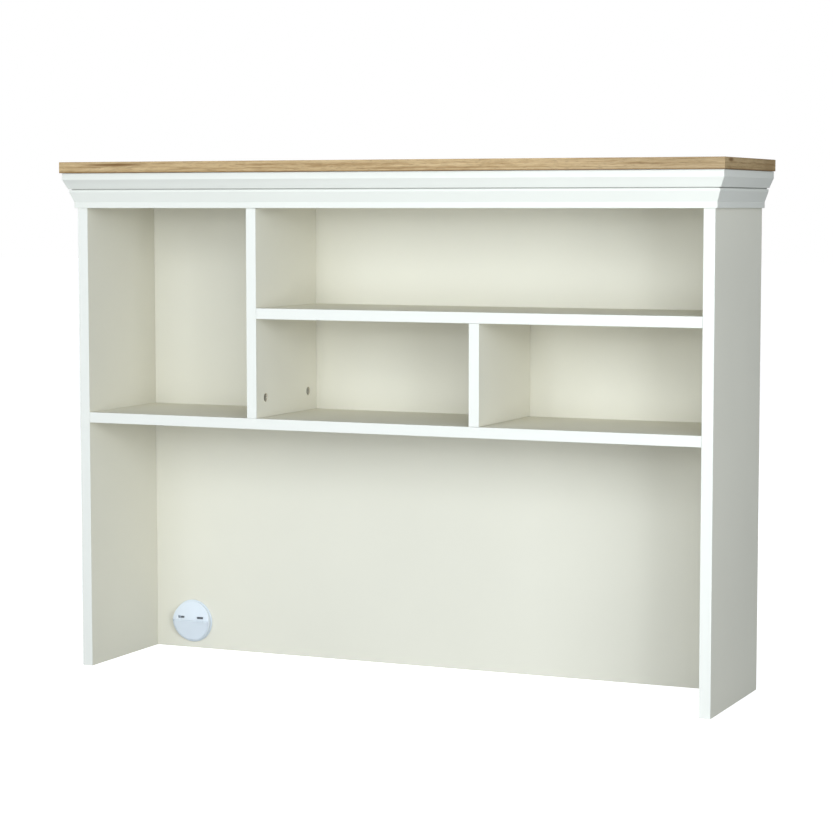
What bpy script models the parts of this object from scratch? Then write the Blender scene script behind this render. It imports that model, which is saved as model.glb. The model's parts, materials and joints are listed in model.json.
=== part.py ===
"""A desk hutch: an open two-tone shelf unit that stands on the back of a desk.

Frame: metres, +Z up, +X to the right seen from the front, the front faces -Y.
The origin is at the middle of the footprint, on the desk's surface.
Boards butt against each other with GAP between them, because the real ones are separate pieces.
"""

import math

import bmesh
import bpy
from mathutils import Matrix, Vector

MM = 0.001
GAP = 0.3 * MM          # between pieces that touch

# ---- driving dimensions -------------------------------------------------------------
WIDTH, DEPTH, HEIGHT = 1200 * MM, 290 * MM, 888 * MM
SLAB = 19 * MM          # oak top
BOARD = 18 * MM         # shelves, dividers, rail and inner top
SIDE = 19 * MM          # side panels
BACK = 6 * MM           # back panel
OVERHANG_SIDE, OVERHANG_FRONT = 22 * MM, 25 * MM
BACK_SETBACK = 233 * MM  # from the carcass's front plane to the back panel's face
BOTTOM_SHELF_TOP = 451 * MM
UPPER_SHELF_TOP = 639 * MM
TALL_DIVIDER_X = -247 * MM   # left faces
SHORT_DIVIDER_X = 162 * MM
GROOVE = 6 * MM         # how deep the back panel sits in each side

CROWN_HEIGHT = 60.4 * MM
CROWN_FOOT, CROWN_STEP, CROWN_LIP, CROWN_TOP = 4.5 * MM, 10.8 * MM, 12 * MM, 19.5 * MM  # outwards
FOOT_BAND, LOWER_BEVEL, STEP_BAND, UPPER_BEVEL = 9.9 * MM, 17.3 * MM, 3.9 * MM, 15.9 * MM  # upwards
QUIRK_DEPTH, QUIRK = 3 * MM, 1.8 * MM  # the narrow groove over the step band

CAM_RADIUS, CAM_DEPTH, CAM_RECESS, CAM_INSET = 7.5 * MM, 12.6 * MM, 2 * MM, 34 * MM
CAM_FRONT, CAM_REAR = 35 * MM, 199 * MM  # from the front plane
DRIVE_LENGTH, DRIVE_WIDTH, DRIVE_DEPTH = 8 * MM, 1.6 * MM, 1.6 * MM
BOLT_RADIUS, BOLT_SHANK, BOLT_THREAD = 3.5 * MM, 2.2 * MM, 10 * MM
BOLT_HEAD, BOLT_NECK, BOLT_COLLAR = 3 * MM, 1 * MM, 5 * MM
DOWEL_RADIUS, DOWEL_LENGTH, DOWEL_IN_FACE = 4 * MM, 30 * MM, 9 * MM
SCREW_RADIUS, SCREW_HEAD, SCREW_LENGTH, SCREW_INSET = 2 * MM, 4 * MM, 28 * MM, 90 * MM

GROMMET_INSET, GROMMET_HEIGHT = 95 * MM, 50 * MM  # from the left side's outer face, above the desk
GROMMET_HOLE = 30 * MM
FLANGE_RADIUS, FLANGE_TOP = 39 * MM, 2.5 * MM
LINER_DEPTH, LINER_BORE = 18 * MM, 27.2 * MM
CAP_FLOOR, CAP_SLEEVE, CAP_BORE, CAP_BACK = 1 * MM, 6 * MM, 25.2 * MM, 1.5 * MM
CAP_RADIUS, CAP_WALL, CAP_PLATE = 37.5 * MM, 2 * MM, 1.8 * MM
RIDGE_UP, RIDGE_OUT, CAP_EDGE = 2.2 * MM, 13 * MM, 5.5 * MM
BARREL_RADIUS, PIN_RADIUS, RUNNING = 3 * MM, 1.2 * MM, 0.2 * MM
BARREL_UP = -0.2 * MM
SLOT_WIDTH, SLOT_HEIGHT, SLOT_APART, SLOT_UP = 13 * MM, 4.0 * MM, 39 * MM, 7.4 * MM
LUG_WIDTH, LUG_TOP, FLAP_KNUCKLE_END = 10.4 * MM, 5 * MM, 34.4 * MM

# ---- worked out from them -----------------------------------------------------------
FRONT, REAR = -DEPTH / 2 + OVERHANG_FRONT, DEPTH / 2
LEFT, RIGHT = -WIDTH / 2 + OVERHANG_SIDE, WIDTH / 2 - OVERHANG_SIDE
INNER_LEFT, INNER_RIGHT = LEFT + SIDE, RIGHT - SIDE
CARCASS_TOP = HEIGHT - SLAB
INNER_TOP = CARCASS_TOP - BOARD
CROWN_BASE = CARCASS_TOP - CROWN_HEIGHT
BACK_FACE = FRONT + BACK_SETBACK
TALL_RIGHT = TALL_DIVIDER_X + BOARD
SHORT_RIGHT = SHORT_DIVIDER_X + BOARD
BOTTOM_SHELF = BOTTOM_SHELF_TOP - BOARD
UPPER_SHELF = UPPER_SHELF_TOP - BOARD
GROMMET = Vector((LEFT + GROMMET_INSET, BACK_FACE, GROMMET_HEIGHT))
LOWER_SLOPE = (RIDGE_OUT - CAP_EDGE) / (CAP_RADIUS + RIDGE_UP)
UPPER_SLOPE = (RIDGE_OUT - CAP_EDGE) / (CAP_RADIUS - RIDGE_UP)
BARREL_OUT = (RIDGE_OUT - (RIDGE_UP - BARREL_UP) * LOWER_SLOPE
              - BARREL_RADIUS * math.hypot(1, LOWER_SLOPE))
X, Y, Z = Vector((1, 0, 0)), Vector((0, 1, 0)), Vector((0, 0, 1))

# colour, roughness, metallic
FINISHES = {
    "oak": ((0.58, 0.43, 0.25, 1), 0.45, 0),
    "white": ((0.87, 0.86, 0.79, 1), 0.35, 0),
    "plastic": ((0.80, 0.86, 0.90, 1), 0.3, 0),
    "steel": ((0.62, 0.63, 0.64, 1), 0.3, 1),
    "beech": ((0.72, 0.58, 0.40, 1), 0.6, 0),
}


# ---- tools --------------------------------------------------------------------------
def clear_scene():
    for thing in list(bpy.data.objects):
        bpy.data.objects.remove(thing, do_unlink=True)


def material(name):
    found = bpy.data.materials.get(name)
    if found:
        return found
    colour, roughness, metallic = FINISHES[name]
    made = bpy.data.materials.new(name)
    made.use_nodes = True
    shader = made.node_tree.nodes["Principled BSDF"]
    shader.inputs["Base Color"].default_value = colour
    shader.inputs["Roughness"].default_value = roughness
    shader.inputs["Metallic"].default_value = metallic
    return made


def place(name, mesh, finish=None, origin=(0, 0, 0)):
    """A visible piece with a finish, or a hidden cutter without one."""
    piece = bpy.data.objects.new(name, mesh)
    piece.location = origin
    bpy.context.scene.collection.objects.link(piece)
    if finish:
        if not mesh.materials:
            mesh.materials.append(material(finish))
    else:
        piece.hide_render = True
        piece.display_type = "WIRE"
    return piece


def mesh_from(name, builder):
    shape = bmesh.new()
    builder(shape)
    bmesh.ops.recalc_face_normals(shape, faces=shape.faces)
    mesh = bpy.data.meshes.new(name)
    shape.to_mesh(mesh)
    shape.free()
    return mesh


def block(name, low, high, finish=None):
    low, high = Vector(low), Vector(high)
    size, middle = high - low, (low + high) / 2
    matrix = Matrix.Translation(middle) @ Matrix.Diagonal((*size, 1))
    mesh = mesh_from(name, lambda shape: bmesh.ops.create_cube(shape, size=1, matrix=matrix))
    return place(name, mesh, finish)


def prism(name, outline, start, end):
    """An outline of (y, z) points drawn out along X from start to end."""
    def build(shape):
        face = shape.faces.new([shape.verts.new((start, y, z)) for y, z in outline])
        drawn = bmesh.ops.extrude_face_region(shape, geom=[face])["geom"]
        moved = [item for item in drawn if isinstance(item, bmesh.types.BMVert)]
        bmesh.ops.translate(shape, verts=moved, vec=X * (end - start))
    return place(name, mesh_from(name, build))


def turned(name, rings, segments, direction, origin, finish=None, mesh=None):
    """A turned piece: rings are (distance along, radius), from one end to the other."""
    def build(shape):
        turn = 2 * math.pi / segments
        loops = [[shape.verts.new((radius * math.cos(turn * i), radius * math.sin(turn * i), along))
                  for i in range(segments)] for along, radius in rings]
        for lower, upper in zip(loops, loops[1:]):
            for i in range(segments):
                j = (i + 1) % segments
                shape.faces.new((lower[i], lower[j], upper[j], upper[i]))
        shape.faces.new(loops[0])
        shape.faces.new(loops[-1])
    piece = place(name, mesh or mesh_from(name, build), finish, origin)
    piece.rotation_euler = Z.rotation_difference(direction).to_euler()
    return piece


def combine(piece, other, operation="DIFFERENCE"):
    step = piece.modifiers.new(other.name, "BOOLEAN")
    step.object = other
    step.operation = operation
    return piece


def baked(piece):
    """The piece's mesh with its modifiers worked in, so that copies can share it."""
    bpy.context.view_layer.update()
    graph = bpy.context.evaluated_depsgraph_get()
    return bpy.data.meshes.new_from_object(piece.evaluated_get(graph))


def drill(board, centre, direction, radius, depth, segments=12):
    """A hole in a board from centre, on its face, along direction."""
    over = 1 * MM
    name = f"cut_{board.name}_{len(board.modifiers)}"
    hole = turned(name, [(-over, radius), (depth, radius)], segments, direction, centre)
    return combine(board, hole)


# ---- boards -------------------------------------------------------------------------
def side_panel(name, outer, inner):
    low, high = min(outer, inner), max(outer, inner)
    panel = block(name, (low, FRONT, 0), (high, REAR, CARCASS_TOP - GAP), "white")
    groove_floor = inner + math.copysign(GROOVE + GAP, outer - inner)
    mouth = inner - math.copysign(2 * MM, outer - inner)
    groove = block(f"cut_{name}_groove",
                   (min(groove_floor, mouth), BACK_FACE - GAP, -2 * MM),
                   (max(groove_floor, mouth), BACK_FACE + BACK + GAP, CARCASS_TOP + 2 * MM))
    return combine(panel, groove)


def tall_divider():
    divider = block("tall_divider", (TALL_DIVIDER_X, FRONT, BOTTOM_SHELF_TOP + GAP),
                    (TALL_RIGHT, BACK_FACE - GAP, INNER_TOP - GAP), "white")
    notch = block("cut_divider_notch", (TALL_DIVIDER_X - 2 * MM, FRONT - 2 * MM, CROWN_BASE - GAP),
                  (TALL_RIGHT + 2 * MM, FRONT + BOARD + GAP, INNER_TOP + 2 * MM))
    return combine(divider, notch)


def back_panel():
    panel = block("back_panel", (INNER_LEFT - GROOVE, BACK_FACE, 0),
                  (INNER_RIGHT + GROOVE, BACK_FACE + BACK, CARCASS_TOP - GAP), "white")
    return drill(panel, GROMMET, Y, GROMMET_HOLE, BACK + 2 * MM, segments=48)


def make_boards():
    shelf_back = BACK_FACE - GAP
    boards = [
        side_panel("side_panel_left", LEFT, INNER_LEFT),
        side_panel("side_panel_right", RIGHT, INNER_RIGHT),
        block("sub_top_panel", (INNER_LEFT + GAP, FRONT + BOARD + GAP, INNER_TOP),
              (INNER_RIGHT - GAP, shelf_back, CARCASS_TOP - GAP), "white"),
        block("front_rail", (INNER_LEFT + GAP, FRONT, CROWN_BASE),
              (INNER_RIGHT - GAP, FRONT + BOARD, CARCASS_TOP - GAP), "white"),
        block("bottom_shelf", (INNER_LEFT + GAP, FRONT, BOTTOM_SHELF),
              (INNER_RIGHT - GAP, shelf_back, BOTTOM_SHELF_TOP), "white"),
        block("upper_shelf", (TALL_RIGHT + GAP, FRONT, UPPER_SHELF),
              (INNER_RIGHT - GAP, shelf_back, UPPER_SHELF_TOP), "white"),
        block("short_divider", (SHORT_DIVIDER_X, FRONT, BOTTOM_SHELF_TOP + GAP),
              (SHORT_RIGHT, shelf_back, UPPER_SHELF - GAP), "white"),
        block("top_slab", (-WIDTH / 2, -DEPTH / 2, CARCASS_TOP), (WIDTH / 2, DEPTH / 2, HEIGHT), "oak"),
        tall_divider(),
        back_panel(),
    ]
    return {board.name: board for board in boards}


# ---- crown moulding -----------------------------------------------------------------
def crown_profile():
    """How far out and how far up the moulding's face runs, from its foot to its top."""
    rises = [(CROWN_FOOT, FOOT_BAND), (CROWN_STEP, LOWER_BEVEL), (CROWN_STEP, STEP_BAND),
             (CROWN_STEP - QUIRK_DEPTH, 0), (CROWN_STEP - QUIRK_DEPTH, QUIRK), (CROWN_LIP, 0),
             (CROWN_TOP, UPPER_BEVEL)]
    outline, up = [(GAP, 0), (CROWN_FOOT, 0)], 0
    for out, rise in rises:
        up += rise
        outline.append((out, up))
    return outline + [(CROWN_TOP, CROWN_HEIGHT - GAP), (GAP, CROWN_HEIGHT - GAP)]


def moulding(name, ends):
    """The profile swept between two ends; each end turns an out distance into a place in plan."""
    def build(shape):
        loops = [[shape.verts.new((*end(out), CROWN_BASE + up)) for out, up in crown_profile()]
                 for end in ends]
        count = len(loops[0])
        for i in range(count):
            j = (i + 1) % count
            shape.faces.new((loops[0][i], loops[0][j], loops[1][j], loops[1][i]))
        for loop in loops:
            shape.faces.new(loop)
    return place(name, mesh_from(name, build), "white")


def make_crown():
    mitre = GAP / 2

    def corner(side, out, along_front):
        """A mitred corner, each piece held back half a gap from the mitre's plane."""
        x, y = side * (RIGHT + out), FRONT - out
        return (x - side * mitre, y) if along_front else (x, y + mitre)

    moulding("crown_front", [lambda out: corner(-1, out, True), lambda out: corner(1, out, True)])
    moulding("crown_left", [lambda out: (LEFT - out, REAR), lambda out: corner(-1, out, False)])
    moulding("crown_right", [lambda out: (RIGHT + out, REAR), lambda out: corner(1, out, False)])


# ---- fasteners ----------------------------------------------------------------------
def cam_mesh():
    """A cam lock sunk below the board's face at z = 0, open towards +X for the bolt's head."""
    radius, throat_radius = CAM_RADIUS - GAP, BOLT_RADIUS + 0.5 * MM
    rings = [(-CAM_DEPTH, radius), (-CAM_RECESS, radius)]
    body = turned("cam_body", rings, 16, Z, (0, 0, 0), "steel")
    rings = [(-BOLT_HEAD, throat_radius), (2 * CAM_RADIUS, throat_radius)]
    combine(body, turned("cut_cam_throat", rings, 12, X, (0, 0, -BOARD / 2)))
    reach, half = DRIVE_LENGTH / 2, DRIVE_WIDTH / 2
    for name, turn in (("cut_cam_drive_a", 0), ("cut_cam_drive_b", math.pi / 2)):
        bar = block(name, (-reach, -half, -CAM_RECESS - DRIVE_DEPTH), (reach, half, 0))
        bar.rotation_euler.z = turn
        combine(body, bar)
    mesh = baked(body)
    bpy.data.objects.remove(body)
    return mesh


def bolt_mesh():
    """A cam bolt along +Z: its head reaches into the cam below z = 0, and its thread goes up."""
    head, thread = BOLT_RADIUS - 0.2 * MM, BOLT_SHANK + 0.5 * MM
    top = GAP - CAM_INSET + BOLT_NECK
    rings = [(top - BOLT_HEAD, head), (top, head), (top + BOLT_NECK, BOLT_SHANK),
             (-BOLT_COLLAR - BOLT_NECK, BOLT_SHANK), (-BOLT_COLLAR, head), (-GAP, head), (0, thread),
             (BOLT_THREAD - BOLT_NECK, thread), (BOLT_THREAD, thread - BOLT_NECK)]
    model = turned("bolt_model", rings, 10, Z, (0, 0, 0), "steel")
    mesh = model.data
    bpy.data.objects.remove(model)
    return mesh


def cam_joint(name, board, mate, end, face, meshes, bolts_at):
    """Cams in a board's face and bolts into the panel it butts. end and face are the board's outward
    directions; bolts_at gives, for each cam, the place on the board's end where its bolt crosses."""
    for label, crossing in bolts_at:
        crossing = Vector(crossing)
        centre = crossing - end * CAM_INSET + face * (board_thickness(board, face) / 2)
        turn = Matrix((end, face.cross(end), face)).transposed().to_euler()
        cam = place(f"cam_{name}_{label}", meshes["cam"], "steel", centre)
        cam.rotation_euler = turn
        drill(board, centre, -face, CAM_RADIUS, CAM_DEPTH + 2 * GAP, segments=16)
        drill(board, crossing, -end, BOLT_RADIUS + 0.5 * MM, CAM_INSET)
        turned(f"bolt_{name}_{label}", None, 0, end, crossing, "steel", meshes["bolt"])
        drill(mate, crossing, end, BOLT_RADIUS - 0.5 * MM, BOLT_THREAD + 1 * MM)


def board_thickness(board, face):
    return abs(face.dot(board.dimensions))


def dowel(name, board, mate, crossing, direction):
    """A beech dowel from a board's end, in the middle of its thickness, into the mate's face."""
    crossing = Vector(crossing)
    inside, into_mate = DOWEL_LENGTH - DOWEL_IN_FACE, DOWEL_IN_FACE
    rings = [(-inside, DOWEL_RADIUS - MM), (MM - inside, DOWEL_RADIUS),
             (into_mate - MM, DOWEL_RADIUS), (into_mate, DOWEL_RADIUS - MM)]
    turned(name, rings, 10, direction, crossing, "beech")
    drill(board, crossing, -direction, DOWEL_RADIUS + GAP, inside + MM)
    drill(mate, crossing, direction, DOWEL_RADIUS + GAP, into_mate + MM)


def slab_screw(name, inner_top, slab, x, y):
    """A countersunk screw up through the inner top and into the slab."""
    foot = Vector((x, y, INNER_TOP))
    head = SCREW_HEAD - SCREW_RADIUS
    rings = [(0, SCREW_HEAD), (head, SCREW_RADIUS), (SCREW_LENGTH - 3 * MM, SCREW_RADIUS),
             (SCREW_LENGTH, 0.5 * MM)]
    turned(name, rings, 10, Z, foot, "steel")
    wider = [(-MM, SCREW_HEAD + GAP), (GAP, SCREW_HEAD + GAP), (head + GAP, SCREW_RADIUS + GAP),
             (BOARD + MM, SCREW_RADIUS + GAP)]
    combine(inner_top, turned(f"cut_{name}", wider, 10, Z, foot))
    drill(slab, foot + Z * BOARD, Z, SCREW_RADIUS + GAP, SCREW_LENGTH - BOARD + MM, segments=10)


def make_fasteners(boards):
    meshes = {"cam": cam_mesh(), "bolt": bolt_mesh()}
    rows = [("front", FRONT + CAM_FRONT), ("rear", FRONT + CAM_REAR)]

    def along(x, z):
        return [(label, (x, y, z)) for label, y in rows]

    left, right = boards["side_panel_left"], boards["side_panel_right"]
    tall, short = boards["tall_divider"], boards["short_divider"]
    bottom, upper, inner = boards["bottom_shelf"], boards["upper_shelf"], boards["sub_top_panel"]
    shelf_middle, upper_middle = BOTTOM_SHELF + BOARD / 2, UPPER_SHELF + BOARD / 2
    inner_middle = INNER_TOP + BOARD / 2
    tall_middle, short_middle = TALL_DIVIDER_X + BOARD / 2, SHORT_DIVIDER_X + BOARD / 2

    cam_joint("bottom_left", bottom, left, -X, -Z, meshes, along(INNER_LEFT, shelf_middle))
    cam_joint("bottom_right", bottom, right, X, -Z, meshes, along(INNER_RIGHT, shelf_middle))
    cam_joint("upper_left", upper, tall, -X, -Z, meshes, along(TALL_RIGHT, upper_middle))
    cam_joint("upper_right", upper, right, X, -Z, meshes, along(INNER_RIGHT, upper_middle))
    cam_joint("inner_left", inner, left, -X, -Z, meshes, along(INNER_LEFT, inner_middle))
    cam_joint("inner_right", inner, right, X, -Z, meshes, along(INNER_RIGHT, inner_middle))
    cam_joint("divider", tall, bottom, -Z, X, meshes, along(tall_middle, BOTTOM_SHELF_TOP))

    for label, y in rows:
        dowel(f"dowel_tall_top_{label}", tall, inner, (tall_middle, y, INNER_TOP), Z)
        dowel(f"dowel_short_top_{label}", short, upper, (short_middle, y, UPPER_SHELF), Z)
        dowel(f"dowel_short_foot_{label}", short, bottom, (short_middle, y, BOTTOM_SHELF_TOP), -Z)
    for label, x, direction, side in (("left", INNER_LEFT, -X, left), ("right", INNER_RIGHT, X, right)):
        dowel(f"dowel_rail_{label}", boards["front_rail"], side,
              (x, FRONT + BOARD / 2, CROWN_BASE + CROWN_HEIGHT / 3), direction)
        for row, y in rows:
            spot = x - direction.x * SCREW_INSET
            slab_screw(f"slab_screw_{label}_{row}", inner, boards["top_slab"], spot, y)


# ---- cable grommet ------------------------------------------------------------------
def face_point(right, up, out):
    """A place on the grommet: right and up from its middle, and out from the back panel's face."""
    return GROMMET + Vector((right, -out, up))


def disc(name, rings, segments=48, finish=None):
    """A round piece about the grommet's axis; rings are (out from the panel, radius)."""
    return turned(name, rings, segments, -Y, GROMMET, finish)


def barrel(name, radius, low, high, segments=24, finish=None):
    """A cylinder along the flap's hinge axis, from low to high."""
    axis = face_point(0, BARREL_UP, BARREL_OUT)
    return turned(name, [(low, radius), (high, radius)], segments, X, axis, finish)


def roof(name, raised=0, low=None, high=None, half=60 * MM):
    """A prism along X under the cap's two slopes, moved out by raised, between two heights."""
    low, high = low if low is not None else -half, high if high is not None else half
    floor = -30 * MM
    outline = [(low, floor), (low, slope_at(low) + raised)]
    if low < RIDGE_UP < high:
        outline.append((RIDGE_UP, RIDGE_OUT + raised))
    outline += [(high, slope_at(high) + raised), (high, floor)]
    return prism(name, on_grommet(outline), GROMMET.x - half, GROMMET.x + half)


def on_grommet(outline):
    """Turns (up, out) points of the grommet's side view into (y, z)."""
    return [(GROMMET.y - out, GROMMET.z + up) for up, out in outline]


def slope_at(up):
    """How far out the cap's outline stands at a height."""
    slope = UPPER_SLOPE if up > RIDGE_UP else LOWER_SLOPE
    return RIDGE_OUT - slope * abs(up - RIDGE_UP)


def make_liner():
    sleeve = GROMMET_HOLE - 0.5 * MM
    liner = disc("grommet_liner", [(-LINER_DEPTH, sleeve), (GAP, sleeve), (GAP, FLANGE_RADIUS),
                                   (FLANGE_TOP - MM, FLANGE_RADIUS), (FLANGE_TOP, FLANGE_RADIUS - MM)],
                 finish="plastic")
    bore = disc("cut_liner_bore", [(-LINER_DEPTH - MM, LINER_BORE), (FLANGE_TOP + MM, LINER_BORE)])
    combine(liner, bore)


def make_cap():
    """The fixed half: a rim with both slopes, the upper plate with a back behind it, and a sleeve that
    snaps into the liner. Below CAP_BACK the bore is open, for the cables under the flap."""
    foot, floor = FLANGE_TOP + GAP, FLANGE_TOP + GAP + CAP_FLOOR
    rim = CAP_RADIUS - CAP_WALL
    cap = disc("grommet_cap", [(foot, CAP_RADIUS), (RIDGE_OUT + MM, CAP_RADIUS)], finish="plastic")
    combine(cap, roof("cut_cap_roof"), "INTERSECT")
    hollow = disc("cut_cap_hollow", [(floor, rim), (RIDGE_OUT + 2 * MM, rim)])
    combine(hollow, roof("cut_cap_ceiling", raised=-CAP_PLATE), "INTERSECT")
    combine(cap, hollow)
    opening = disc("cut_cap_flap_opening", [(floor, rim), (RIDGE_OUT + 3 * MM, rim)])
    combine(opening, roof("cut_cap_below_ridge", raised=5 * MM, high=RIDGE_UP), "INTERSECT")
    combine(cap, opening)
    combine(cap, barrel("cut_cap_barrel", BARREL_RADIUS + GAP, -rim, rim))
    sleeve = disc("add_cap_sleeve", [(-CAP_SLEEVE, LINER_BORE - GAP), (foot + GAP, LINER_BORE - GAP)])
    combine(cap, sleeve, "UNION")
    bore = disc("cut_cap_bore", [(-CAP_SLEEVE - MM, CAP_BORE), (floor + GAP, CAP_BORE)])
    above = face_point(-CAP_RADIUS, CAP_BACK, floor + MM), face_point(CAP_RADIUS, CAP_RADIUS, foot)
    combine(bore, block("cut_cap_back", *above))
    combine(cap, bore)
    for side in (-1, 1):
        label = "left" if side < 0 else "right"
        middle = side * SLOT_APART / 2
        low, high = middle - LUG_WIDTH / 2, middle + LUG_WIDTH / 2
        web = block(f"add_lug_{label}", face_point(low, LUG_TOP, BARREL_OUT - BARREL_RADIUS + MM),
                    face_point(high, BARREL_UP, slope_at(LUG_TOP) - CAP_PLATE / 2))
        combine(cap, web, "UNION")
        combine(cap, barrel(f"add_lug_{label}_barrel", BARREL_RADIUS, low, high), "UNION")
        across, over = SLOT_WIDTH / 2, SLOT_HEIGHT / 2
        slot = block(f"cut_slot_{label}", face_point(middle - across, SLOT_UP - over, RIDGE_OUT + MM),
                     face_point(middle + across, SLOT_UP + over, slope_at(SLOT_UP) - CAP_PLATE - MM))
        combine(cap, slot)
    combine(cap, barrel("cut_cap_pin", PIN_RADIUS + RUNNING / 2, -rim - MM, rim + MM, 12))


def make_flap():
    """The moving half: a plate under the lower slope with three knuckles on the hinge pin."""
    radius = CAP_RADIUS - CAP_WALL - RUNNING * 2
    flap = disc("grommet_flap", [(0, radius), (RIDGE_OUT + MM, radius)], finish="plastic")
    combine(flap, roof("cut_flap_outside", high=BARREL_UP), "INTERSECT")
    combine(flap, roof("cut_flap_inside", raised=-CAP_PLATE))
    combine(flap, barrel("cut_flap_clearance", BARREL_RADIUS + GAP, -radius - MM, radius + MM))
    lug_low, lug_high = SLOT_APART / 2 - LUG_WIDTH / 2 - GAP, SLOT_APART / 2 + LUG_WIDTH / 2 + GAP
    spans = [(-FLAP_KNUCKLE_END, -lug_high), (-lug_low, lug_low), (lug_high, FLAP_KNUCKLE_END)]
    for i, (low, high) in enumerate(spans):
        combine(flap, barrel(f"add_flap_knuckle_{i}", BARREL_RADIUS, low, high), "UNION")
        web = prism(f"add_flap_web_{i}", flap_web(), GROMMET.x + low, GROMMET.x + high)
        combine(flap, web, "UNION")
    combine(flap, barrel("cut_flap_pin", PIN_RADIUS + RUNNING, -radius - MM, radius + MM, 12))
    return flap


def flap_web():
    """Joins a knuckle to the plate: a strip of the plate's thickness up to the barrel's middle."""
    low = BARREL_UP - BARREL_RADIUS - MM
    lean = CAP_PLATE * math.hypot(1, LOWER_SLOPE)
    high, skin = BARREL_UP - 0.6 * MM, 0.05 * MM
    outline = [(low, slope_at(low) - skin), (high, slope_at(high) - skin),
               (high, slope_at(high) - lean), (low, slope_at(low) - lean)]
    return on_grommet(outline)


def hang_on_hinge(flap):
    """Parents the flap to an empty on its hinge axis."""
    hinge = bpy.data.objects.new("flap_hinge", None)
    hinge.location = face_point(0, BARREL_UP, BARREL_OUT)
    bpy.context.scene.collection.objects.link(hinge)
    flap.parent = hinge
    flap.matrix_parent_inverse = Matrix.Translation(-hinge.location)


def make_grommet():
    make_liner()
    make_cap()
    hang_on_hinge(make_flap())
    half = CAP_RADIUS - CAP_WALL - 0.5 * MM
    barrel("grommet_hinge_pin", PIN_RADIUS, -half, half, 12, "steel")


def main():
    clear_scene()
    boards = make_boards()
    make_crown()
    make_fasteners(boards)
    make_grommet()
    for mesh in bpy.data.meshes:
        mesh.shade_smooth()
        mesh.set_sharp_from_angle(angle=math.radians(30))


main()
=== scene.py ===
"""The looks of a two-tone desk hutch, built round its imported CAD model.

Everything is in metres in the model's own frame: +X right, +Y to the rear, +Z up, the open front faces -Y.
The CAD boards are kept as they are and get rounded arrises and new finishes. The cam locks and the cable
grommet are modelled again with finer surfaces, in the places that the CAD nodes hold.
"""

import json
import math

import bmesh
import bpy
from mathutils import Matrix, Vector


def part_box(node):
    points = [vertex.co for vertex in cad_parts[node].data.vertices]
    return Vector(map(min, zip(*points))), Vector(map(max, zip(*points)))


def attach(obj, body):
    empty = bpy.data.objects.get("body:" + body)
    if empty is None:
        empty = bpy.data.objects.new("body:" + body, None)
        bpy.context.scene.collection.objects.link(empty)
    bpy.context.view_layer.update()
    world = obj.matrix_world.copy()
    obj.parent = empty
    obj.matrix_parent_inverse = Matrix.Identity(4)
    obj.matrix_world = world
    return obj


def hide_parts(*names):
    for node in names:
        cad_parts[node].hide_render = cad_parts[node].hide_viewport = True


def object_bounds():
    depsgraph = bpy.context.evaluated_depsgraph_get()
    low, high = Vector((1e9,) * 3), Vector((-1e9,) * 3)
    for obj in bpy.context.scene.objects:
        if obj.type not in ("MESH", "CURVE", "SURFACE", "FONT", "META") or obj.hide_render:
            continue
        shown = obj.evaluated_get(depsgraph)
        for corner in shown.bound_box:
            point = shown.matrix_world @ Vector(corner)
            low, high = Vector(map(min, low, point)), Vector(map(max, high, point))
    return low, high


MM = 0.001
X, Z = Vector((1, 0, 0)), Vector((0, 0, 1))

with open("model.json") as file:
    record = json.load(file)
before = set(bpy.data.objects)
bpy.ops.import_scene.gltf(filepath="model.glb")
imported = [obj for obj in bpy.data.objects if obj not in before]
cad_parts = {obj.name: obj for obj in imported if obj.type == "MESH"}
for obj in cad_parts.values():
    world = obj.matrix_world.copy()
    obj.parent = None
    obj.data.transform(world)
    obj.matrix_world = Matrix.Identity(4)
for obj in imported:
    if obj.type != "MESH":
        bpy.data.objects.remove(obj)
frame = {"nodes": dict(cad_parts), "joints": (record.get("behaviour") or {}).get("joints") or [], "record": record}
cad_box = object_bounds()

# ---- places read from the frame -----------------------------------------------------
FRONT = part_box("side_panel_left")[0].y
SLAB_LOW, SLAB_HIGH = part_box("top_slab")
HUTCH_MIDDLE = (Vector(cad_box[0]) + Vector(cad_box[1])) / 2
QUIRK_UP, QUIRK_HEIGHT = 31.0 * MM, 1.9 * MM   # the narrow groove along the crown moulding
QUIRK_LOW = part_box("crown_front")[0].z + QUIRK_UP
QUIRK_HIGH = QUIRK_LOW + QUIRK_HEIGHT

EDGE_BAND = 1.0 * MM      # thickness of the edge banding on the front edges
JOINT_LINE = 0.12 * MM    # glue line between the banding and the board's face
ARRIS = {"top_slab": 0.7 * MM, "crown": 0.3 * MM}   # by the start of a node's name
BOARD_ARRIS = 0.5 * MM
SEAM_ANGLE = math.radians(35)


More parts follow.
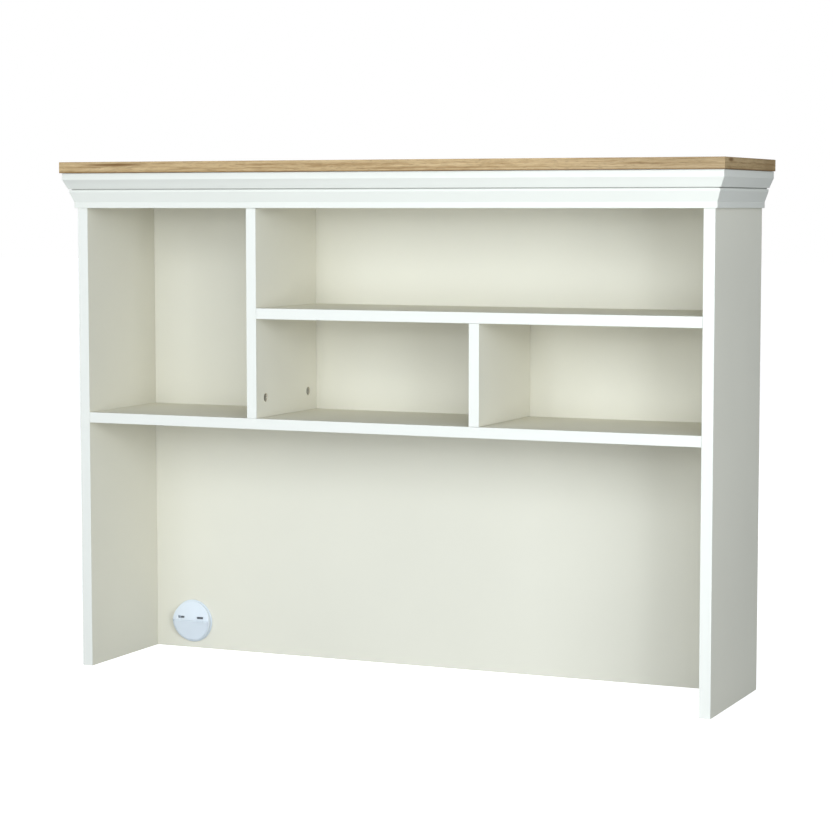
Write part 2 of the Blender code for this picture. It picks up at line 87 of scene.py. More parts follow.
# ---- materials ----------------------------------------------------------------------
class Nodes:
    """One material's node tree, with short ways to add to it."""

    def __init__(self, name):
        self.material = bpy.data.materials.new(name)
        self.material.use_nodes = True
        self.tree = self.material.node_tree
        self.shader = self.tree.nodes["Principled BSDF"]
        coordinates = self.add("ShaderNodeTexCoord")
        self.place, self.normal = coordinates.outputs["Object"], coordinates.outputs["Normal"]

    def add(self, kind, **settings):
        node = self.tree.nodes.new(kind)
        for name, value in settings.items():
            setattr(node, name, value)
        return node

    def put(self, socket, value):
        if isinstance(value, bpy.types.NodeSocket):
            self.tree.links.new(value, socket)
        else:
            socket.default_value = value

    def set(self, **inputs):
        """Sets the shader's own sockets; an underscore stands for a space."""
        for name, value in inputs.items():
            self.put(self.shader.inputs[name.replace("_", " ")], value)

    def math(self, operation, *values, clamp=False):
        node = self.add("ShaderNodeMath", operation=operation, use_clamp=clamp)
        for socket, value in zip(node.inputs, values):
            self.put(socket, value)
        return node.outputs[0]

    def vector(self, operation, *values):
        node = self.add("ShaderNodeVectorMath", operation=operation)
        for socket, value in zip(node.inputs, values):
            self.put(socket, value)
        return node.outputs["Value" if operation == "LENGTH" else "Vector"]

    def split(self, vector):
        node = self.add("ShaderNodeSeparateXYZ")
        self.put(node.inputs[0], vector)
        return list(node.outputs)

    def join(self, *values):
        node = self.add("ShaderNodeCombineXYZ")
        for socket, value in zip(node.inputs, values):
            self.put(socket, value)
        return node.outputs[0]

    def noise(self, place, scale, detail=3.0, roughness=0.5):
        """Noise with a scale for each axis, in cycles a metre."""
        node = self.add("ShaderNodeTexNoise")
        self.put(node.inputs["Vector"], self.vector("MULTIPLY", place, scale))
        node.inputs["Scale"].default_value = 1.0
        node.inputs["Detail"].default_value = detail
        node.inputs["Roughness"].default_value = roughness
        return node.outputs["Fac"]

    def span(self, value, low, high, to_low=0.0, to_high=1.0, smooth=False):
        """Maps low..high to to_low..to_high, held at both ends."""
        node = self.add("ShaderNodeMapRange", interpolation_type="SMOOTHSTEP" if smooth else "LINEAR")
        for socket, number in zip(node.inputs, (value, low, high, to_low, to_high)):
            self.put(socket, number)
        return node.outputs["Result"]

    def ramp(self, value, stops):
        node = self.add("ShaderNodeValToRGB")
        self.put(node.inputs[0], value)
        elements = node.color_ramp.elements
        while len(elements) < len(stops):
            elements.new(0.5)
        for element, (position, colour) in zip(elements, stops):
            element.position = position
            element.color = (*colour, 1)
        return node.outputs[0]

    def mix(self, factor, first, second, blend="MIX"):
        node = self.add("ShaderNodeMix", data_type="RGBA", blend_type=blend)
        sockets = [socket for socket in node.inputs if socket.enabled]
        for socket, value in zip(sockets, (factor, first, second)):
            self.put(socket, (*value, 1) if isinstance(value, tuple) else value)
        return next(socket for socket in node.outputs if socket.enabled)

    def darken(self, colour, amount):
        """The colour times one minus amount."""
        left = self.math("SUBTRACT", 1.0, amount)
        return self.mix(1.0, colour, self.join(left, left, left), "MULTIPLY")

    def spot(self, centre, radii, place=None):
        """1 at centre, falling to 0 on an ellipsoid."""
        away = self.vector("SUBTRACT", place or self.place, centre)
        distance = self.vector("LENGTH", self.vector("DIVIDE", away, radii))
        return self.span(distance, 0.25, 1.0, 1.0, 0.0, smooth=True)

    def bump(self, height, distance, strength=1.0):
        node = self.add("ShaderNodeBump")
        self.put(node.inputs["Height"], height)
        node.inputs["Distance"].default_value = distance
        node.inputs["Strength"].default_value = strength
        self.set(Normal=node.outputs[0])


WHITE_FACE, WHITE_EDGE = (0.745, 0.716, 0.606), (0.775, 0.765, 0.695)
LACQUER = (0.752, 0.744, 0.668)
CHIPBOARD_DARK, CHIPBOARD_LIGHT = (0.58, 0.51, 0.39), (0.72, 0.66, 0.53)
QUIRK_SHADE = 0.34   # how much painted shade darkens the quirk


def white_board():
    """Melamine-faced board: a warm white face with a fine pearl texture, and cooler banding at the front."""
    nodes = Nodes("white_board")
    drift = nodes.noise(nodes.place, (4, 4, 4), 2.0)
    speck = nodes.noise(nodes.place, (700, 700, 700), 2.0)
    face = nodes.mix(nodes.span(drift, 0.35, 0.65), WHITE_FACE, tuple(0.975 * c for c in WHITE_FACE))
    face = nodes.darken(face, nodes.span(speck, 0.55, 0.75, 0.0, 0.02))
    deep = nodes.split(nodes.place)[1]
    banded = nodes.math("LESS_THAN", deep, FRONT + EDGE_BAND)
    colour = nodes.mix(banded, face, WHITE_EDGE)
    off_line = nodes.math("ABSOLUTE", nodes.math("SUBTRACT", deep, FRONT + EDGE_BAND))
    colour = nodes.darken(colour, nodes.span(off_line, 0.0, JOINT_LINE, 0.3, 0.0))
    nodes.set(Base_Color=colour, Roughness=nodes.span(speck, 0.3, 0.7, 0.58, 0.68), Specular_IOR_Level=0.12)
    nodes.bump(speck, 0.03 * MM, 0.4)
    return nodes.material


def chipboard():
    """The raw core of the boards, seen only on the walls of their bores."""
    nodes = Nodes("chipboard")
    chip = nodes.noise(nodes.place, (900, 900, 900), 3.0)
    nodes.set(Base_Color=nodes.mix(nodes.span(chip, 0.35, 0.65), CHIPBOARD_DARK, CHIPBOARD_LIGHT),
              Roughness=nodes.span(chip, 0.3, 0.7, 0.95, 0.8), Specular_IOR_Level=0.1)
    nodes.bump(chip, 0.1 * MM, 0.6)
    return nodes.material


def white_lacquer():
    """Sprayed lacquer on the moulding, with a trace of orange peel, and painted shade in the quirk."""
    nodes = Nodes("white_lacquer")
    drift = nodes.noise(nodes.place, (5, 5, 5), 2.0)
    peel = nodes.noise(nodes.place, (260, 260, 260), 2.0)
    colour = nodes.mix(nodes.span(drift, 0.35, 0.65), LACQUER, tuple(0.985 * c for c in LACQUER))
    height = nodes.split(nodes.place)[2]
    quirk = nodes.math("MULTIPLY", nodes.math("GREATER_THAN", height, QUIRK_LOW),
                       nodes.math("LESS_THAN", height, QUIRK_HIGH))
    # painted shade: the quirk groove is darkened where its shadow falls
    colour = nodes.darken(colour, nodes.math("MULTIPLY", quirk, QUIRK_SHADE))
    nodes.set(Base_Color=colour, Roughness=nodes.span(peel, 0.3, 0.7, 0.42, 0.5), Specular_IOR_Level=0.4)
    nodes.bump(peel, 0.04 * MM, 0.35)
    return nodes.material


OAK_DARK, OAK_MIDDLE, OAK_LIGHT = (0.345, 0.215, 0.088), (0.485, 0.333, 0.160), (0.580, 0.415, 0.218)
# the colour of the oak's dark marks, also used for the painted shade along the slab's lower edge and underside
OAK_MARK_AND_SHADE = (0.190, 0.100, 0.030)
# a brown streak near the left end of the front, then a knot and a darker patch on the right end:
# centre, radii, depth
OAK_MARKS = (
    ((-0.488, SLAB_LOW.y, 0.8826), (0.078, 0.03, 0.0034), 1.0),
    ((SLAB_HIGH.x, -0.112, 0.8838), (0.02, 0.019, 0.0045), 0.95),
    ((SLAB_HIGH.x, 0.105, 0.878), (0.02, 0.055, 0.03), 0.30),
)
OAK_LOWER_SHADE = 2.5 * MM   # the painted shade along the slab's lower edge fades out over this height
SHADE_FROM, SHADE_TO, SHADE_DEPTH = 0.20, 0.58, 0.25   # the front darkens towards its right end
SHADE_ON_ENDS = 0.3                                    # the share of that darkening on the two ends


def oak():
    """Oak: wavy growth bands along the width, fine fibres, mottled flecks and short dark pores.

    The banding on the two ends has its own grain, which runs from front to rear."""
    nodes = Nodes("oak")
    x, y, z = nodes.split(nodes.place)
    ends = nodes.math("GREATER_THAN", nodes.math("ABSOLUTE", nodes.split(nodes.normal)[0]), 0.7)
    board = nodes.mix(ends, nodes.place, nodes.join(y, x, z))
    along, across, up = nodes.split(board)
    slow = nodes.span(nodes.noise(board, (2.6, 14, 30), 2.0), 0.3, 0.7, -3 * MM, 3 * MM)
    quick = nodes.span(nodes.noise(board, (14, 60, 90), 2.0), 0.3, 0.7, -0.7 * MM, 0.7 * MM)
    sway = nodes.math("ADD", slow, quick)
    grain = nodes.join(along, nodes.math("ADD", across, sway), nodes.math("ADD", up, sway))
    bands = nodes.noise(grain, (2.2, 230, 230), 2.0, 0.6)
    fleck = nodes.noise(grain, (32, 260, 380), 2.0, 0.6)
    fibre = nodes.noise(grain, (16, 1300, 1300), 2.0)
    pore = nodes.noise(grain, (90, 2000, 2000), 1.0)
    tone = nodes.math("ADD", nodes.math("MULTIPLY", bands, 0.6), nodes.math("MULTIPLY", fleck, 0.4))
    colour = nodes.ramp(tone, [(0.37, OAK_DARK), (0.48, OAK_MIDDLE), (0.62, OAK_LIGHT)])
    colour = nodes.darken(colour, nodes.span(fibre, 0.35, 0.65, 0.10, 0.0))
    colour = nodes.darken(colour, nodes.span(pore, 0.60, 0.68, 0.0, 0.32))
    shade = nodes.span(x, SHADE_FROM, SHADE_TO, 0.0, SHADE_DEPTH, smooth=True)
    share = nodes.span(ends, 0.0, 1.0, 1.0, SHADE_ON_ENDS)
    colour = nodes.darken(colour, nodes.math("MULTIPLY", shade, share))
    ragged = nodes.vector("ADD", nodes.place, nodes.join(0.0, 0.0, nodes.math("MULTIPLY", quick, 0.5)))
    for centre, radii, depth in OAK_MARKS:
        mark = nodes.spot(centre, radii, ragged)
        colour = nodes.mix(nodes.math("MULTIPLY", mark, depth), colour, OAK_MARK_AND_SHADE)
    # painted shade: the slab's underside and the lowest strip of its front and ends are darkened towards the mark
    # colour
    lower_shade = nodes.span(z, SLAB_LOW.z, SLAB_LOW.z + OAK_LOWER_SHADE, 1.0, 0.0)
    colour = nodes.mix(lower_shade, colour, OAK_MARK_AND_SHADE)
    nodes.set(Base_Color=colour, Roughness=nodes.span(fibre, 0.3, 0.7, 0.58, 0.46), Specular_IOR_Level=0.3)
    relief = nodes.math("SUBTRACT", fibre, nodes.span(pore, 0.60, 0.68, 0.0, 1.2))
    nodes.bump(relief, 0.06 * MM, 0.5)
    return nodes.material


PLASTIC = (0.70, 0.752, 0.80)
INSIDE_SHADE = 0.62   # how much painted shade darkens the cap's back


def moulded_plastic():
    """Injection-moulded grommet: a fine spark-eroded texture, and painted shade on the back behind the two slots.
    """
    nodes = Nodes("grommet_plastic")
    spark = nodes.noise(nodes.place, (1800, 1800, 1800), 2.0)
    drift = nodes.noise(nodes.place, (30, 30, 30), 1.0)
    colour = nodes.mix(nodes.span(drift, 0.3, 0.7), PLASTIC, tuple(0.97 * c for c in PLASTIC))
    away = nodes.vector("SUBTRACT", nodes.place, GROMMET)
    across, behind, up = nodes.split(away)
    from_axis = nodes.vector("LENGTH", nodes.join(across, 0.0, up))
    # painted shade: the cap's back behind the slots, above the ridge and within its bore, is darkened as if in
    # shadow
    inside = nodes.math("GREATER_THAN", behind, -DARK_BELOW)
    for test in (nodes.math("GREATER_THAN", up, RIDGE_UP), nodes.math("LESS_THAN", from_axis, CAP_BORE)):
        inside = nodes.math("MULTIPLY", inside, test)
    colour = nodes.darken(colour, nodes.math("MULTIPLY", inside, INSIDE_SHADE))
    nodes.set(Base_Color=colour, Roughness=nodes.span(spark, 0.3, 0.7, 0.32, 0.44))
    nodes.bump(spark, 0.02 * MM, 0.4)
    return nodes.material


def zinc():
    """Die-cast zinc and zinc-plated steel: mottled, with fine tumbling scratches."""
    nodes = Nodes("steel_fittings")
    mottle = nodes.noise(nodes.place, (420, 420, 420), 3.0)
    scratch = nodes.noise(nodes.place, (300, 4200, 4200), 2.0)
    colour = nodes.mix(nodes.span(mottle, 0.3, 0.7), (0.46, 0.45, 0.41), (0.36, 0.35, 0.31))
    nodes.set(Base_Color=colour, Roughness=nodes.span(scratch, 0.3, 0.7, 0.30, 0.46), Metallic=1.0)
    nodes.bump(scratch, 0.01 * MM, 0.5)
    return nodes.material


def beech():
    """Beech dowels: pinkish wood with short flecks."""
    nodes = Nodes("beech_dowels")
    fleck = nodes.noise(nodes.place, (900, 900, 250), 2.0)
    colour = nodes.ramp(fleck, [(0.35, (0.42, 0.27, 0.15)), (0.55, (0.60, 0.42, 0.26))])
    nodes.set(Base_Color=colour, Roughness=nodes.span(fleck, 0.3, 0.7, 0.7, 0.55))
    nodes.bump(fleck, 0.05 * MM, 0.4)
    return nodes.material


# ---- carried-over nodes -------------------------------------------------------------
def soften(node, width):
    """Rounds a node's arrises. Its faces are made whole first, so that the bevel runs evenly."""
    weld = node.modifiers.new("weld", "WELD")
    weld.merge_threshold = 0.01 * MM
    whole = node.modifiers.new("whole_faces", "DECIMATE")
    whole.decimate_type = "DISSOLVE"
    whole.angle_limit = math.radians(0.5)
    arris = node.modifiers.new("arris", "BEVEL")
    arris.width = width
    arris.segments = 2
    arris.limit_method = "ANGLE"
    arris.angle_limit = SEAM_ANGLE
    arris.harden_normals = True


def arris_of(name):
    return next((width for start, width in ARRIS.items() if name.startswith(start)), BOARD_ARRIS)


def bare_bores(node, core):
    """The walls of a board's bores show its core: they are its only faces that aren't square to an axis."""
    node.data.materials.append(core)
    for face in node.data.polygons:
        if max(abs(part) for part in face.normal) < 0.999:
            face.material_index = 1


def finish_nodes():
    """Gives every carried-over node its finish, by the record's material slots, and its arrises."""
    finishes = {"white_board": white_board(), "oak_top": oak(), "grommet_plastic": moulded_plastic(),
                "steel_fittings": zinc(), "beech_dowels": beech()}
    lacquer, core = white_lacquer(), chipboard()
    for part in frame["record"]["subparts"]:
        name, slot = part["node"], part["material_slot"]
        node = frame["nodes"][name]
        node.data.materials.clear()
        node.data.materials.append(lacquer if name.startswith("crown") else finishes[slot])
        if slot == "white_board" and not name.startswith("crown"):
            bare_bores(node, core)
        if slot in ("white_board", "oak_top"):
            soften(node, arris_of(name))
    return finishes


# ---- modelling ----------------------------------------------------------------------
def link(name, mesh):
    piece = bpy.data.objects.new(name, mesh)
    bpy.context.scene.collection.objects.link(piece)
    return piece


def closed_mesh(name, builder):
    shape = bmesh.new()
    builder(shape)
    bmesh.ops.recalc_face_normals(shape, faces=shape.faces)
    mesh = bpy.data.meshes.new(name)
    shape.to_mesh(mesh)
    shape.free()
    return mesh


def turned(name, rings, matrix, segments):
    """A turned solid about the matrix's Z: rings are (along, radius) from one end to the other."""
    def build(shape):
        turns = [2 * math.pi * i / segments for i in range(segments)]
        loops = [[shape.verts.new(matrix @ Vector((radius * math.cos(turn), radius * math.sin(turn), along)))
                  for turn in turns] for along, radius in rings]
        for lower, upper in zip(loops, loops[1:]):
            for i in range(segments):
                j = (i + 1) % segments
                shape.faces.new((lower[i], lower[j], upper[j], upper[i]))
        shape.faces.new(loops[0])
        shape.faces.new(loops[-1])
    return link(name, closed_mesh(name, build))


def drawn(name, outline, start, end):
    """A prism along X: the outline is (y, z) points."""
    def build(shape):
        loops = [[shape.verts.new((x, y, z)) for y, z in outline] for x in (start, end)]
        for i in range(len(outline)):
            j = (i + 1) % len(outline)
            shape.faces.new((loops[0][i], loops[0][j], loops[1][j], loops[1][i]))
        for loop in loops:
            shape.faces.new(loop)
    return link(name, closed_mesh(name, build))


def box_solid(name, low, high):
    (x0, y0, z0), (x1, y1, z1) = low, high
    return drawn(name, [(y0, z0), (y1, z0), (y1, z1), (y0, z1)], x0, x1)


def combine(piece, other, operation="DIFFERENCE"):
    step = piece.modifiers.new(other.name, "BOOLEAN")
    step.object = other
    step.operation = operation
    return other


def rounded(piece, width, segments, angle=SEAM_ANGLE):
    step = piece.modifiers.new("round", "BEVEL")
    step.width = width
    step.segments = segments
    step.limit_method = "ANGLE"
    step.angle_limit = angle


def settled(piece, material, tools=()):
    """The piece with its modifiers worked in and its tools removed, shaded smooth between sharp edges."""
    bpy.context.view_layer.update()
    graph = bpy.context.evaluated_depsgraph_get()
    mesh = bpy.data.meshes.new_from_object(piece.evaluated_get(graph), depsgraph=graph)
    piece.modifiers.clear()
    piece.data = mesh
    mesh.materials.clear()
    mesh.materials.append(material)
    mesh.shade_smooth()
    mesh.set_sharp_from_angle(angle=SEAM_ANGLE)
    for tool in tools:
        bpy.data.objects.remove(tool)
    return piece


def stand_in(piece, body, slot, *nodes):
    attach(piece, body)
    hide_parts(*nodes)


# ---- cable grommet ------------------------------------------------------------------
LINER_LOW, LINER_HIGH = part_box("grommet_liner")
CAP_LOW, CAP_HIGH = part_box("grommet_cap")
PIN_LOW, PIN_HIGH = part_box("grommet_hinge_pin")
PANEL_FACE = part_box("back_panel")[0].y
GROMMET = Vector(((LINER_LOW.x + LINER_HIGH.x) / 2, PANEL_FACE, (LINER_LOW.z + LINER_HIGH.z) / 2))
HINGE = Vector(frame["joints"][0]["pos_m"])
FLANGE_RADIUS, LINER_END = LINER_HIGH.x - GROMMET.x, LINER_HIGH.y - PANEL_FACE
FLANGE_TOP, SLEEVE_RADIUS, LINER_BORE = PANEL_FACE - LINER_LOW.y, 29.5 * MM, 27.2 * MM
CAP_RADIUS, CAP_BORE = CAP_HIGH.x - GROMMET.x, 25.2 * MM
CAP_SLEEVE, CAP_FOOT, CAP_WALL, CAP_PLATE = CAP_HIGH.y - PANEL_FACE, FLANGE_TOP + 0.3 * MM, 2 * MM, 1.8 * MM
CAP_BACK = 1.5 * MM
RIDGE_UP, RIDGE_OUT, CAP_EDGE = 2.2 * MM, PANEL_FACE - CAP_LOW.y, 5.5 * MM
BARREL_RADIUS, PLAY = 3 * MM, 0.3 * MM
PIN_RADIUS, PIN_PLAY = (PIN_HIGH.z - PIN_LOW.z) / 2, 0.15 * MM
SLOT_WIDTH, SLOT_HEIGHT, SLOT_APART, SLOT_UP = 13 * MM, 4.0 * MM, 39 * MM, 7.4 * MM
LUG_WIDTH, LUG_TOP, KNUCKLE_END = 10.4 * MM, 5 * MM, 34.4 * MM
DARK_BELOW = 4.6 * MM     # how far out from the panel the painted shade inside the cap reaches
PAST, BEHIND = 60 * MM, 30 * MM   # how far the cutting tools reach past the grommet and behind the panel
ROUND_SEGMENTS = 120


def slope_at(up):
    """How far out the cap's two slopes stand at a height above the grommet's middle."""
    run = CAP_RADIUS - RIDGE_UP if up > RIDGE_UP else CAP_RADIUS + RIDGE_UP
    return RIDGE_OUT - (RIDGE_OUT - CAP_EDGE) * abs(up - RIDGE_UP) / run


def disc(name, rings):
    """Turned about the grommet's axis; rings are (out from the panel, radius)."""
    place = Matrix.Translation(GROMMET) @ Matrix.Rotation(math.pi / 2, 4, "X")
    return turned(name, rings, place, ROUND_SEGMENTS)


def rod(name, radius, low, high):
    """Turned about the hinge axis, between two places to the right of the grommet's middle."""
    place = Matrix.Translation((GROMMET.x, HINGE.y, HINGE.z)) @ Matrix.Rotation(math.pi / 2, 4, "Y")
    return turned(name, [(low, radius), (high, radius)], place, 48)


def roof(name, low, high, raised=0.0):
    """The space under the slopes from one height to another, with the surface moved out by raised."""
    outline = [(low, -BEHIND), (low, slope_at(low) + raised)]
    if low < RIDGE_UP < high:
        outline.append((RIDGE_UP, RIDGE_OUT + raised))
    outline += [(high, slope_at(high) + raised), (high, -BEHIND)]
    points = [(GROMMET.y - out, GROMMET.z + up) for up, out in outline]
    return drawn(name, points, GROMMET.x - PAST, GROMMET.x + PAST)


def at(right, up, out):
    return GROMMET + Vector((right, -out, up))


def make_liner(plastic):
    """Flanged sleeve with a rolled outer edge."""
    edge = 1.2 * MM
    roll = [(FLANGE_TOP - edge + edge * math.sin(a), FLANGE_RADIUS - edge + edge * math.cos(a))
            for a in (math.radians(15 * step) for step in range(7))]
    liner = disc("grommet_liner_fine", [(-LINER_END, SLEEVE_RADIUS), (0.3 * MM, SLEEVE_RADIUS),
                                        (0.3 * MM, FLANGE_RADIUS)] + roll)
    bore = combine(liner, disc("liner_bore", [(-LINER_END - MM, LINER_BORE), (FLANGE_TOP + MM, LINER_BORE)]))
    rounded(liner, 0.3 * MM, 2)
    stand_in(settled(liner, plastic, [bore]), "hutch", "grommet_plastic", "grommet_liner")


def make_cap(plastic):
    """Fixed half: a rounded rim, the upper plate and its back, the hinge lugs, and a snap-in sleeve."""
    rim, floor = CAP_RADIUS - CAP_WALL, CAP_FOOT + MM
    cap = disc("grommet_cap_fine", [(CAP_FOOT, CAP_RADIUS), (RIDGE_OUT + 2 * MM, CAP_RADIUS)])
    tools = [combine(cap, roof("cap_roof", -PAST, PAST), "INTERSECT")]
    rounded(cap, 1.1 * MM, 4, math.radians(50))
    hollow = disc("cap_hollow", [(floor, rim), (RIDGE_OUT + 2 * MM, rim)])
    tools += [combine(hollow, roof("cap_ceiling", -PAST, PAST, -CAP_PLATE), "INTERSECT"), hollow]
    combine(cap, hollow)
    opening = disc("cap_opening", [(floor, rim), (RIDGE_OUT + 3 * MM, rim)])
    tools += [combine(opening, roof("cap_below_ridge", -PAST, RIDGE_UP, 5 * MM), "INTERSECT"), opening]
    combine(cap, opening)
    tools.append(combine(cap, rod("cap_barrel", BARREL_RADIUS + PLAY, -rim, rim)))
    sleeve = disc("cap_sleeve", [(-CAP_SLEEVE, LINER_BORE - PLAY), (CAP_FOOT + PLAY, LINER_BORE - PLAY)])
    tools.append(combine(cap, sleeve, "UNION"))
    bore = disc("cap_bore", [(-CAP_SLEEVE - MM, CAP_BORE), (floor + PLAY, CAP_BORE)])
    back = box_solid("cap_back", at(-CAP_RADIUS, CAP_BACK, floor + MM), at(CAP_RADIUS, CAP_RADIUS, CAP_FOOT))
    tools += [combine(bore, back), combine(cap, bore)]
    for side in (-1, 1):
        middle = side * SLOT_APART / 2
        low, high = middle - LUG_WIDTH / 2, middle + LUG_WIDTH / 2
        web = box_solid(f"lug_{side}", at(low, 0.0, slope_at(LUG_TOP) - CAP_PLATE / 2),
                        at(high, LUG_TOP, PANEL_FACE - HINGE.y - BARREL_RADIUS + MM))
        tools.append(combine(cap, web, "UNION"))
        tools.append(combine(cap, rod(f"lug_barrel_{side}", BARREL_RADIUS, low, high), "UNION"))
        across, half = SLOT_WIDTH / 2, SLOT_HEIGHT / 2
        slot = box_solid(f"slot_{side}", at(middle - across, SLOT_UP - half, RIDGE_OUT + MM),
                         at(middle + across, SLOT_UP + half, slope_at(SLOT_UP) - CAP_PLATE - MM))
        tools.append(combine(cap, slot))
    tools.append(combine(cap, rod("cap_pin_bore", PIN_RADIUS + PIN_PLAY, -rim - MM, rim + MM)))
    rounded(cap, 0.25 * MM, 2, math.radians(50))
    stand_in(settled(cap, plastic, tools), "hutch", "grommet_plastic", "grommet_cap")


def make_flap(plastic):
    """Hinged lower half: a plate with rounded edges and three knuckles on the pin."""
    radius = CAP_RADIUS - CAP_WALL - 0.4 * MM
    top = HINGE.z - GROMMET.z
    flap = disc("grommet_flap_fine", [(0, radius), (RIDGE_OUT + MM, radius)])
    tools = [combine(flap, roof("flap_outside", -PAST, top), "INTERSECT"),
             combine(flap, roof("flap_inside", -PAST, PAST, -CAP_PLATE)),
             combine(flap, rod("flap_clearance", BARREL_RADIUS + PLAY, -radius - MM, radius + MM))]
    inner, outer = SLOT_APART / 2 - LUG_WIDTH / 2 - PLAY, SLOT_APART / 2 + LUG_WIDTH / 2 + PLAY
    low = top - BARREL_RADIUS - MM
    strip = [(low, 0.05 * MM), (top - 0.6 * MM, 0.05 * MM), (top - 0.6 * MM, CAP_PLATE), (low, CAP_PLATE)]
    outline = [(GROMMET.y - slope_at(up) + under, GROMMET.z + up) for up, under in strip]
    for i, (start, end) in enumerate([(-KNUCKLE_END, -outer), (-inner, inner), (outer, KNUCKLE_END)]):
        tools.append(combine(flap, rod(f"knuckle_{i}", BARREL_RADIUS, start, end), "UNION"))
        web = drawn(f"web_{i}", outline, GROMMET.x + start, GROMMET.x + end)
        tools.append(combine(flap, web, "UNION"))
    tools.append(combine(flap, rod("flap_pin_bore", PIN_RADIUS + PIN_PLAY, -radius - MM, radius + MM)))
    rounded(flap, 0.3 * MM, 2, math.radians(50))
    stand_in(settled(flap, plastic, tools), "flap", "grommet_plastic", "grommet_flap")


# ---- cam locks ----------------------------------------------------------------------
CAM_RADIUS, CAM_HEIGHT, CAM_THROAT, THROAT_DOWN = 7.2 * MM, 10.6 * MM, 4 * MM, 7 * MM
DRIVE_REACH, DRIVE_HALF, DRIVE_DEPTH = 4.4 * MM, 0.9 * MM, 2.4 * MM


def cam_mesh(metal):
    """A cast cam with its top at z = 0: dished face, cross drive, arrow pip, and a throat towards +X."""
    rings = [(-CAM_HEIGHT, CAM_RADIUS - 0.4 * MM), (-CAM_HEIGHT + 0.4 * MM, CAM_RADIUS),
             (-0.5 * MM, CAM_RADIUS), (0, CAM_RADIUS - 0.5 * MM), (0, CAM_RADIUS - 1.3 * MM),
             (-0.4 * MM, CAM_RADIUS - 1.7 * MM)]
    cam = turned("cam_model", rings, Matrix.Identity(4), 64)
    throat = Matrix.Translation((-2 * MM, 0, -THROAT_DOWN)) @ Matrix.Rotation(math.pi / 2, 4, "Y")
    tools = [combine(cam, turned("cam_throat", [(0, CAM_THROAT), (2 * CAM_RADIUS, CAM_THROAT)], throat, 32))]
    for name, reach, half in (("x", DRIVE_REACH, DRIVE_HALF), ("y", DRIVE_HALF, DRIVE_REACH)):
        drive = box_solid(f"drive_{name}", (-reach, -half, -DRIVE_DEPTH), (reach, half, MM))
        tools.append(combine(cam, drive))
    pip = turned("cam_pip", [(-MM, 0.55 * MM), (MM, 0.55 * MM)], Matrix.Translation((5 * MM, 0, 0)), 16)
    tools.append(combine(cam, pip))
    rounded(cam, 0.15 * MM, 2, math.radians(50))
    mesh = settled(cam, metal, tools).data
    bpy.data.objects.remove(cam)
    return mesh


def make_cams(metal):
    """Each cam's throat faces the end of its board, where its bolt comes in."""
    mesh = cam_mesh(metal)
    for name in sorted(frame["nodes"]):
        if not name.startswith("cam_"):
            continue
        low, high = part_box(name)
        middle = (low + high) / 2
        bolt_low, bolt_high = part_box(name.replace("cam_", "bolt_"))
        if name.startswith("cam_divider"):
            face, top, end = X, Vector((high.x, middle.y, middle.z)), -Z
        else:
            face, top = -Z, Vector((middle.x, middle.y, low.z))
            end = X if (bolt_low.x + bolt_high.x) / 2 > middle.x else -X
        turn = Matrix((end, face.cross(end), face)).transposed().to_4x4()
        cam = bpy.data.objects.new(f"{name}_fine", mesh)
        bpy.context.scene.collection.objects.link(cam)
        cam.matrix_world = Matrix.Translation(top) @ turn
        stand_in(cam, "hutch", "steel_fittings", name)


# ---- stage --------------------------------------------------------------------------
def make_camera():
    camera = bpy.data.objects.new("camera", bpy.data.cameras.new("camera"))
    bpy.context.scene.collection.objects.link(camera)
    camera.data.lens = 105.6
    camera.data.sensor_width = 36
    camera.location = (1.6912, -3.8057, 0.8094)
    camera.rotation_euler = (math.pi / 2 - 0.0853, 0, 0.41465)
    bpy.context.scene.camera = camera


LIGHT_REACH = 3.6
COOL = (0.861, 0.926, 1.0)
# name: azimuth from the front towards +X and height, in degrees, side in metres, watts
SOFTBOXES = {
    "low_left": (-30, 3, 1.2, 7.5),
    "low_front": (0, 3, 1.2, 35),
    "low_right": (50, 3, 1.4, 49),
    "key_left": (-15, 18, 1.2, 30),
    "key_right": (35, 18, 1.2, 35),
    "high_front": (0, 35, 1.2, 7),
    "high_right": (60, 34, 1.2, 10),
    "rear_fill": (205, 25, 2.0, 38),
}


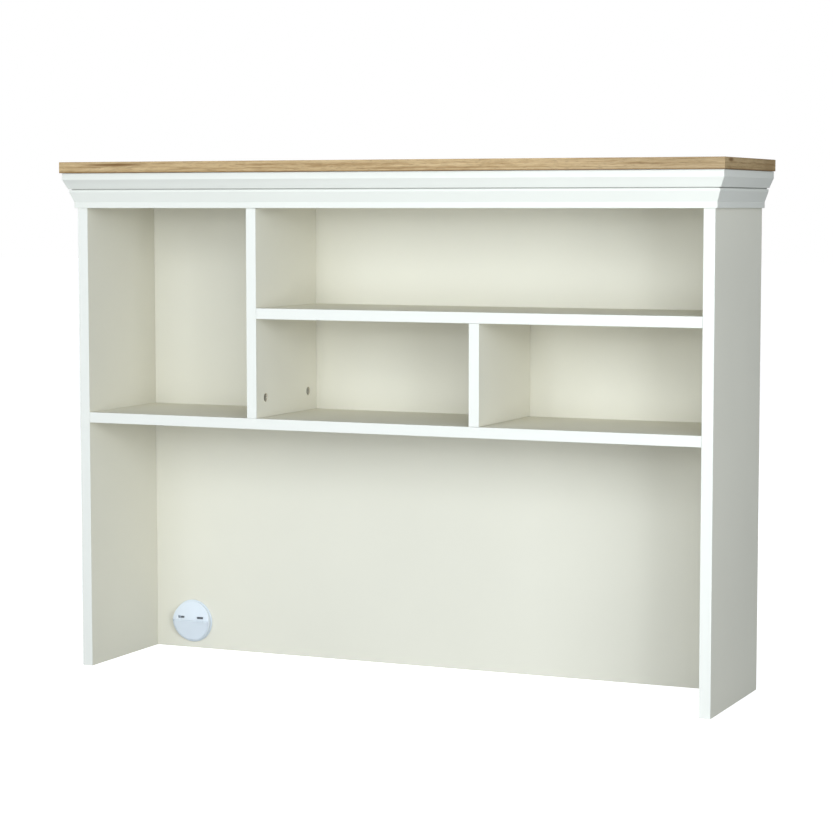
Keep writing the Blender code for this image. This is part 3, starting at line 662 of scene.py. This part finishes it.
def make_lights():
    for name, (azimuth, height, side, watts) in SOFTBOXES.items():
        light = bpy.data.lights.new(name, "AREA")
        light.shape = "SQUARE"
        light.size = side
        light.energy = watts
        light.color = COOL
        across, up = math.radians(azimuth), math.radians(height)
        direction = Vector((math.sin(across) * math.cos(up), -math.cos(across) * math.cos(up), math.sin(up)))
        lamp = bpy.data.objects.new(name, light)
        lamp.location = HUTCH_MIDDLE + direction * LIGHT_REACH
        lamp.rotation_euler = direction.to_track_quat("Z", "Y").to_euler()
        bpy.context.scene.collection.objects.link(lamp)


def camera_only(tree, seen_colour, other_colour):
    """A colour that the camera sees, and another one that lights the scene."""
    ray = tree.nodes.new("ShaderNodeLightPath").outputs["Is Camera Ray"]
    choice = tree.nodes.new("ShaderNodeMix")
    choice.data_type = "RGBA"
    sockets = [socket for socket in choice.inputs if socket.enabled]
    tree.links.new(ray, sockets[0])
    sockets[1].default_value = (*other_colour, 1)
    sockets[2].default_value = (*seen_colour, 1)
    return next(socket for socket in choice.outputs if socket.enabled)


AMBIENT = 0.216


def make_world():
    world = bpy.data.worlds.new("studio")
    bpy.context.scene.world = world
    world.use_nodes = True
    tree = world.node_tree
    ambient = tuple(AMBIENT * c for c in COOL)
    tree.links.new(camera_only(tree, (1, 1, 1), ambient), tree.nodes["Background"].inputs["Color"])


FLOOR_REACH, FLOOR_DROP, FLOOR_GREY, FLOOR_GLOW = 30, 0.2 * MM, 0.45, 0.93


def make_floor():
    """A pale floor. To the camera it glows almost to white, with soft contact shadows left in it."""
    mesh = bpy.data.meshes.new("floor")
    ways = ((-1, -1), (1, -1), (1, 1), (-1, 1))
    corners = [(side * FLOOR_REACH, end * FLOOR_REACH, 0) for side, end in ways]
    mesh.from_pydata(corners, [], [(0, 1, 2, 3)])
    floor = bpy.data.objects.new("floor", mesh)
    floor.location.z = -FLOOR_DROP
    bpy.context.scene.collection.objects.link(floor)
    nodes = Nodes("floor")
    nodes.set(Base_Color=(FLOOR_GREY, FLOOR_GREY, FLOOR_GREY, 1), Roughness=1.0, Specular_IOR_Level=0.0)
    glow = camera_only(nodes.tree, (FLOOR_GLOW,) * 3, (0, 0, 0))
    nodes.set(Emission_Color=glow, Emission_Strength=1.0)
    mesh.materials.append(nodes.material)


finishes = finish_nodes()
make_liner(finishes["grommet_plastic"])
make_cap(finishes["grommet_plastic"])
make_flap(finishes["grommet_plastic"])
make_cams(finishes["steel_fittings"])
make_camera()
make_lights()
make_world()
make_floor()
bpy.context.scene.view_settings.view_transform = "Standard"
